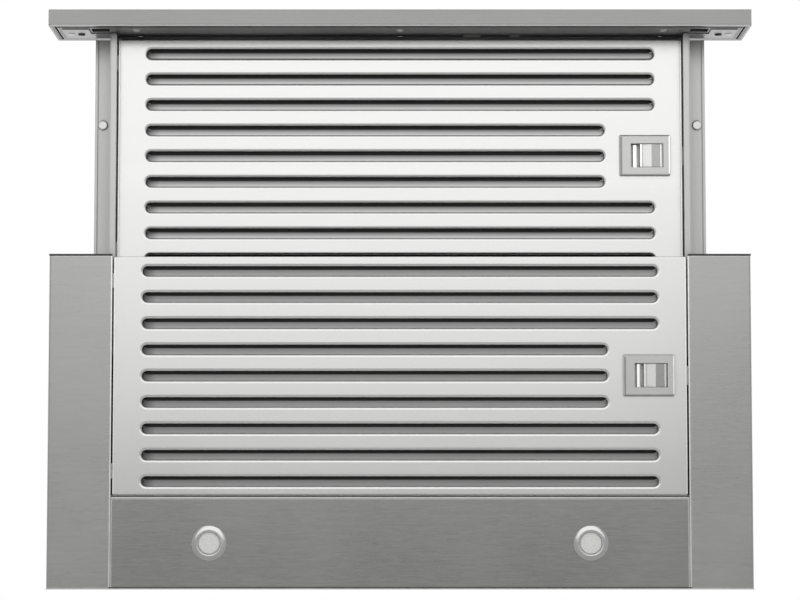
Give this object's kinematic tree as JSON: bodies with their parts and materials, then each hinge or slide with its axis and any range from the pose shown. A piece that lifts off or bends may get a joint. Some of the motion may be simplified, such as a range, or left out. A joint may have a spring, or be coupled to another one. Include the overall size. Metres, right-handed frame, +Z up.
{
  "type": "telescopic range hood",
  "caption": "Under-cabinet hood with a pull-out filter drawer, slotted grease filters, lamps, blower box and round duct outlet.",
  "frame": {"origin": "middle of the cabinet screw pattern, on the upper face of the tray under the cabinet", "axes": "+X across the hood to the right, -Y to the front where the drawer pulls out, +Z up"},
  "size_m": [0.599, 0.4955, 0.278],
  "materials": {
    "tray_steel": "brushed stainless sheet",
    "panel_steel": "brushed stainless sheet, folded edges",
    "filter_steel": "fine brushed stainless, punched",
    "baffle_steel": "plain stainless sheet, punched",
    "fascia_steel": "brushed stainless, folded",
    "zinc_steel": "bright zinc-plated sheet",
    "runner_steel": "rolled zinc-plated steel",
    "box_steel": "galvanised sheet",
    "screw_steel": "plated screws",
    "latch_plastic": "satin silver plastic",
    "lamp_chrome": "polished ring",
    "lamp_glass": "frosted",
    "lamp_metal": "cast heat sink",
    "dark_plastic": "moulded",
    "mesh_black": "flattened fine mesh, blackened",
    "key_plastic": "moulded caps",
    "white_plastic": "moulded",
    "buffer_rubber": "soft dome"
  },
  "bodies": {
    "hood_body": {"tray_shell": "tray_steel", "side_panel_left": "panel_steel", "side_panel_right": "panel_steel", "lamp_panel": "panel_steel", "lamp_bezel_left": "lamp_chrome", "lamp_bezel_right": "lamp_chrome", "lamp_lens_left": "lamp_glass", "lamp_lens_right": "lamp_glass", "lamp_body_left": "lamp_metal", "lamp_body_right": "lamp_metal", "runner_bracket_left": "zinc_steel", "runner_bracket_right": "zinc_steel", "runner_outer_left": "runner_steel", "runner_outer_right": "runner_steel", "motor_box_top": "box_steel", "motor_box_front": "box_steel", "motor_box_rear": "box_steel", "motor_box_left": "box_steel", "motor_box_right": "box_steel", "box_screws": "screw_steel", "outlet_collar": "dark_plastic", "collar_screws": "screw_steel", "scroll_wrap": "dark_plastic", "scroll_left": "dark_plastic", "scroll_right": "dark_plastic", "motor": "lamp_metal", "motor_bracket": "dark_plastic", "control_box": "white_plastic", "capacitor": "white_plastic", "cable_gland": "dark_plastic"},
    "drawer": {"drawer_rail_left": "zinc_steel", "drawer_rail_right": "zinc_steel", "drawer_front_bar": "zinc_steel", "drawer_rear_bar": "zinc_steel", "rail_screws": "screw_steel", "fascia_shell": "fascia_steel", "fascia_back": "zinc_steel", "fascia_screws": "screw_steel", "drawer_buffers": "buffer_rubber", "speed_switch": "white_plastic", "light_switch": "white_plastic", "runner_inner_left": "runner_steel", "runner_inner_right": "runner_steel", "drawer_filter_face": "filter_steel", "drawer_filter_baffle": "baffle_steel", "drawer_filter_mesh": "mesh_black", "drawer_latch_bezel": "latch_plastic"},
    "runner_member_left": {"runner_middle_left": "runner_steel"},
    "runner_member_right": {"runner_middle_right": "runner_steel"},
    "body_filter": {"body_filter_face": "filter_steel", "body_filter_baffle": "baffle_steel", "body_filter_mesh": "mesh_black", "body_latch_bezel": "latch_plastic"},
    "body_latch": {"body_latch_slider": "latch_plastic"},
    "drawer_latch": {"drawer_latch_slider": "latch_plastic"},
    "fan": {"impeller_disc": "dark_plastic", "impeller_blades": "dark_plastic", "impeller_rings": "dark_plastic", "motor_shaft": "screw_steel"},
    "left_flap": {"flap_left": "dark_plastic"},
    "right_flap": {"flap_right": "dark_plastic"},
    "speed_key": {"speed_button": "key_plastic"},
    "light_key": {"light_button": "key_plastic"}
  },
  "joints": [
    {"name": "drawer_slide", "type": "slide", "parent": "hood_body", "child": "drawer", "axis": [0, -1, 0], "range_m": [-0.192, 0]},
    {"name": "runner_slide_left", "type": "slide", "parent": "hood_body", "child": "runner_member_left", "axis": [0, -1, 0], "range_m": [-0.096, 0]},
    {"name": "runner_slide_right", "type": "slide", "parent": "hood_body", "child": "runner_member_right", "axis": [0, -1, 0], "range_m": [-0.096, 0]},
    {"name": "body_filter_drop", "type": "hinge", "parent": "hood_body", "child": "body_filter", "pos_m": [-0.2446, -0.0391, -0.0538], "axis": [0, 1, 0], "range_deg": [0, 75]},
    {"name": "body_latch_slide", "type": "slide", "parent": "body_filter", "child": "body_latch", "axis": [-1, 0, 0], "range_m": [0, 0.006], "stiffness_N_per_m": 300, "springref_m": -0.004},
    {"name": "drawer_latch_slide", "type": "slide", "parent": "drawer", "child": "drawer_latch", "axis": [-1, 0, 0], "range_m": [0, 0.006], "stiffness_N_per_m": 300, "springref_m": -0.004},
    {"name": "fan_spin", "type": "hinge", "parent": "hood_body", "child": "fan", "pos_m": [0, -0.001, 0.067], "axis": [1, 0, 0], "continuous": true},
    {"name": "left_flap_swing", "type": "hinge", "parent": "hood_body", "child": "left_flap", "pos_m": [-0.0035, 0.011, 0.14975], "axis": [0, 1, 0], "range_deg": [0, 80]},
    {"name": "right_flap_swing", "type": "hinge", "parent": "hood_body", "child": "right_flap", "pos_m": [0.0035, 0.011, 0.14975], "axis": [0, -1, 0], "range_deg": [0, 80]},
    {"name": "speed_key_press", "type": "slide", "parent": "drawer", "child": "speed_key", "axis": [0, 1, 0], "range_m": [0, 0.0025], "stiffness_N_per_m": 800, "springref_m": -0.001},
    {"name": "light_key_press", "type": "slide", "parent": "drawer", "child": "light_key", "axis": [0, 1, 0], "range_m": [0, 0.0025], "stiffness_N_per_m": 800, "springref_m": -0.001}
  ],
  "couplings": [
    {"joint": "runner_slide_left", "follows": "drawer_slide", "ratio": 0.5},
    {"joint": "runner_slide_right", "follows": "drawer_slide", "ratio": 0.5}
  ]
}
